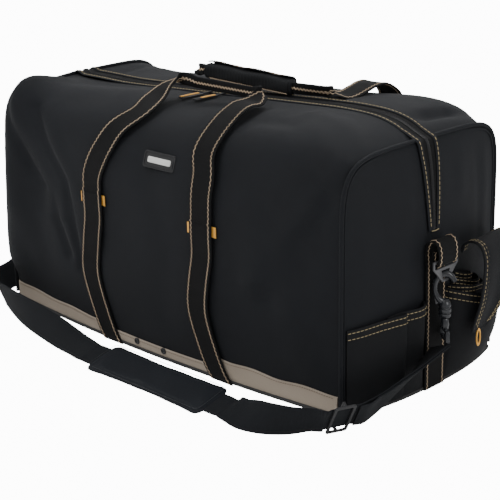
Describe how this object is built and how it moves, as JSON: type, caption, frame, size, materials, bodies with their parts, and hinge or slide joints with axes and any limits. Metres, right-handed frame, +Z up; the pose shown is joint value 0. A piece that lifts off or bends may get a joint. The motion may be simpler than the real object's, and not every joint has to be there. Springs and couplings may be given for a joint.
{
  "type": "garden tool bag",
  "caption": "Large soft rectangular bag of black padded cloth with a top zip, webbing carry handles, end pockets with flaps, and a clip-on shoulder strap with a pad.",
  "frame": {"origin": "on the ground under the middle of the bag, at the base panel's underside", "axes": "+X along the bag to its right end, -Y to the front that carries the label, +Z up"},
  "size_m": [0.7462, 0.4333, 0.3584],
  "materials": {
    "nylon": "woven black nylon",
    "webbing": "ribbed black webbing",
    "tan_trim": "matte tan binding",
    "yellow_trim": "satin amber",
    "black_plastic": "moulded black",
    "grey_metal": "satin grey",
    "rubber": "soft moulded"
  },
  "bodies": {
    "bag": {"front_panel": "nylon", "back_panel": "nylon", "base_panel": "nylon", "base_board": "black_plastic", "base_binding": "webbing", "front_guard_band": "tan_trim", "back_guard_band": "tan_trim", "left_end_panel": "nylon", "right_end_panel": "nylon", "left_front_piping": "nylon", "left_rear_piping": "nylon", "right_front_piping": "nylon", "right_rear_piping": "nylon", "zip_tape_front": "webbing", "zip_tape_back": "webbing", "zip_coil": "black_plastic", "label_patch": "rubber", "left_drain_eyelet": "rubber", "right_drain_eyelet": "rubber", "front_left_handle_leg": "webbing", "front_left_handle_tag": "yellow_trim", "front_right_handle_leg": "webbing", "front_right_handle_tag": "yellow_trim", "back_left_handle_leg": "webbing", "back_left_handle_tag": "yellow_trim", "back_right_handle_leg": "webbing", "back_right_handle_tag": "yellow_trim", "left_front_pocket": "nylon", "right_front_pocket": "nylon", "left_rear_pocket": "nylon", "right_rear_pocket": "nylon", "left_flap_hem": "nylon", "right_flap_hem": "nylon", "left_ring_webbing": "webbing", "right_ring_webbing": "webbing", "shoulder_strap": "webbing"},
    "front_handle": {"front_handle": "webbing"},
    "back_handle": {"back_handle": "webbing", "handle_grip": "nylon"},
    "grip_flap": {"grip_flap": "nylon"},
    "left_slider": {"left_zip_slider": "grey_metal"},
    "right_slider": {"right_zip_slider": "grey_metal"},
    "left_pull": {"left_zip_pull": "yellow_trim"},
    "right_pull": {"right_zip_pull": "yellow_trim"},
    "shoulder_pad": {"shoulder_pad": "nylon"},
    "strap_slide": {"strap_slide": "black_plastic"},
    "left_ring": {"left_ring": "grey_metal"},
    "left_hook": {"left_hook_body": "black_plastic"},
    "left_gate": {"left_hook_gate": "black_plastic"},
    "left_eye": {"left_hook_eye": "black_plastic"},
    "left_flap": {"left_pocket_flap": "nylon", "left_flap_loop": "yellow_trim"},
    "right_ring": {"right_ring": "grey_metal"},
    "right_hook": {"right_hook_body": "black_plastic"},
    "right_gate": {"right_hook_gate": "black_plastic"},
    "right_eye": {"right_hook_eye": "black_plastic"},
    "right_flap": {"right_pocket_flap": "nylon", "right_flap_loop": "yellow_trim"}
  },
  "joints": [
    {"name": "front_handle_swing", "type": "hinge", "parent": "bag", "child": "front_handle", "pos_m": [0.005, -0.1722, 0.2042], "axis": [1, 0, 0], "range_deg": [0, 150]},
    {"name": "back_handle_swing", "type": "hinge", "parent": "bag", "child": "back_handle", "pos_m": [0.005, 0.1722, 0.2042], "axis": [-1, 0, 0], "range_deg": [0, 150]},
    {"name": "grip_flap_lift", "type": "hinge", "parent": "back_handle", "child": "grip_flap", "pos_m": [0.008, 0.0295, 0.33525], "axis": [-0.9996, 0.0284, 0.0085], "range_deg": [0, 100]},
    {"name": "left_slider_travel", "type": "slide", "parent": "bag", "child": "left_slider", "axis": [0.9982, 0, 0.0599], "range_m": [-0.14, 0]},
    {"name": "right_slider_travel", "type": "slide", "parent": "bag", "child": "right_slider", "axis": [0.9982, 0, 0.0599], "range_m": [0, 0.2]},
    {"name": "left_pull_turn", "type": "hinge", "parent": "left_slider", "child": "left_pull", "pos_m": [-0.026, 0, 0.32424], "axis": [-0.0599, 0, 0.9982], "range_deg": [-35, 8]},
    {"name": "right_pull_turn", "type": "hinge", "parent": "right_slider", "child": "right_pull", "pos_m": [0, 0, 0.3258], "axis": [-0.0599, 0, 0.9982], "range_deg": [-8, 35]},
    {"name": "pad_shift", "type": "slide", "parent": "bag", "child": "shoulder_pad", "axis": [1, 0, 0], "range_m": [-0.012, 0.012]},
    {"name": "slide_shift", "type": "slide", "parent": "bag", "child": "strap_slide", "axis": [0.3746, 0.9272, 0], "range_m": [-0.003, 0.003]},
    {"name": "left_ring_swing", "type": "hinge", "parent": "bag", "child": "left_ring", "pos_m": [-0.3429, 0, 0.1671], "axis": [0, 1, 0], "range_deg": [0, 50]},
    {"name": "left_hook_swing", "type": "hinge", "parent": "left_ring", "child": "left_hook", "pos_m": [-0.3429, 0, 0.1495], "axis": [0, 1, 0], "range_deg": [0, 6]},
    {"name": "left_gate_press", "type": "hinge", "parent": "left_hook", "child": "left_gate", "pos_m": [-0.34044, -0.01098, 0.11452], "axis": [-0.6968, -0.6968, 0.1698], "range_deg": [0, 20], "stiffness_Nm_per_rad": 0.02, "springref_deg": -17.19},
    {"name": "left_eye_swivel", "type": "hinge", "parent": "left_hook", "child": "left_eye", "pos_m": [-0.35004, -0.00714, 0.09086], "axis": [0.1201, 0.1201, 0.9855], "range_deg": [0, 45]},
    {"name": "left_flap_lift", "type": "hinge", "parent": "bag", "child": "left_flap", "pos_m": [-0.342, 0.084, 0.1883], "axis": [0, 1, 0], "range_deg": [0, 100]},
    {"name": "right_ring_swing", "type": "hinge", "parent": "bag", "child": "right_ring", "pos_m": [0.3429, 0, 0.1671], "axis": [0, -1, 0], "range_deg": [0, 50]},
    {"name": "right_hook_swing", "type": "hinge", "parent": "right_ring", "child": "right_hook", "pos_m": [0.3429, 0, 0.1495], "axis": [0, -1, 0], "range_deg": [0, 6]},
    {"name": "right_gate_press", "type": "hinge", "parent": "right_hook", "child": "right_gate", "pos_m": [0.34044, -0.01098, 0.11452], "axis": [-0.6968, 0.6968, -0.1698], "range_deg": [0, 20], "stiffness_Nm_per_rad": 0.02, "springref_deg": -17.19},
    {"name": "right_eye_swivel", "type": "hinge", "parent": "right_hook", "child": "right_eye", "pos_m": [0.35004, -0.00714, 0.09086], "axis": [0.1201, -0.1201, -0.9855], "range_deg": [0, 45]},
    {"name": "right_flap_lift", "type": "hinge", "parent": "bag", "child": "right_flap", "pos_m": [0.342, 0.084, 0.1883], "axis": [0, -1, 0], "range_deg": [0, 100]}
  ]
}
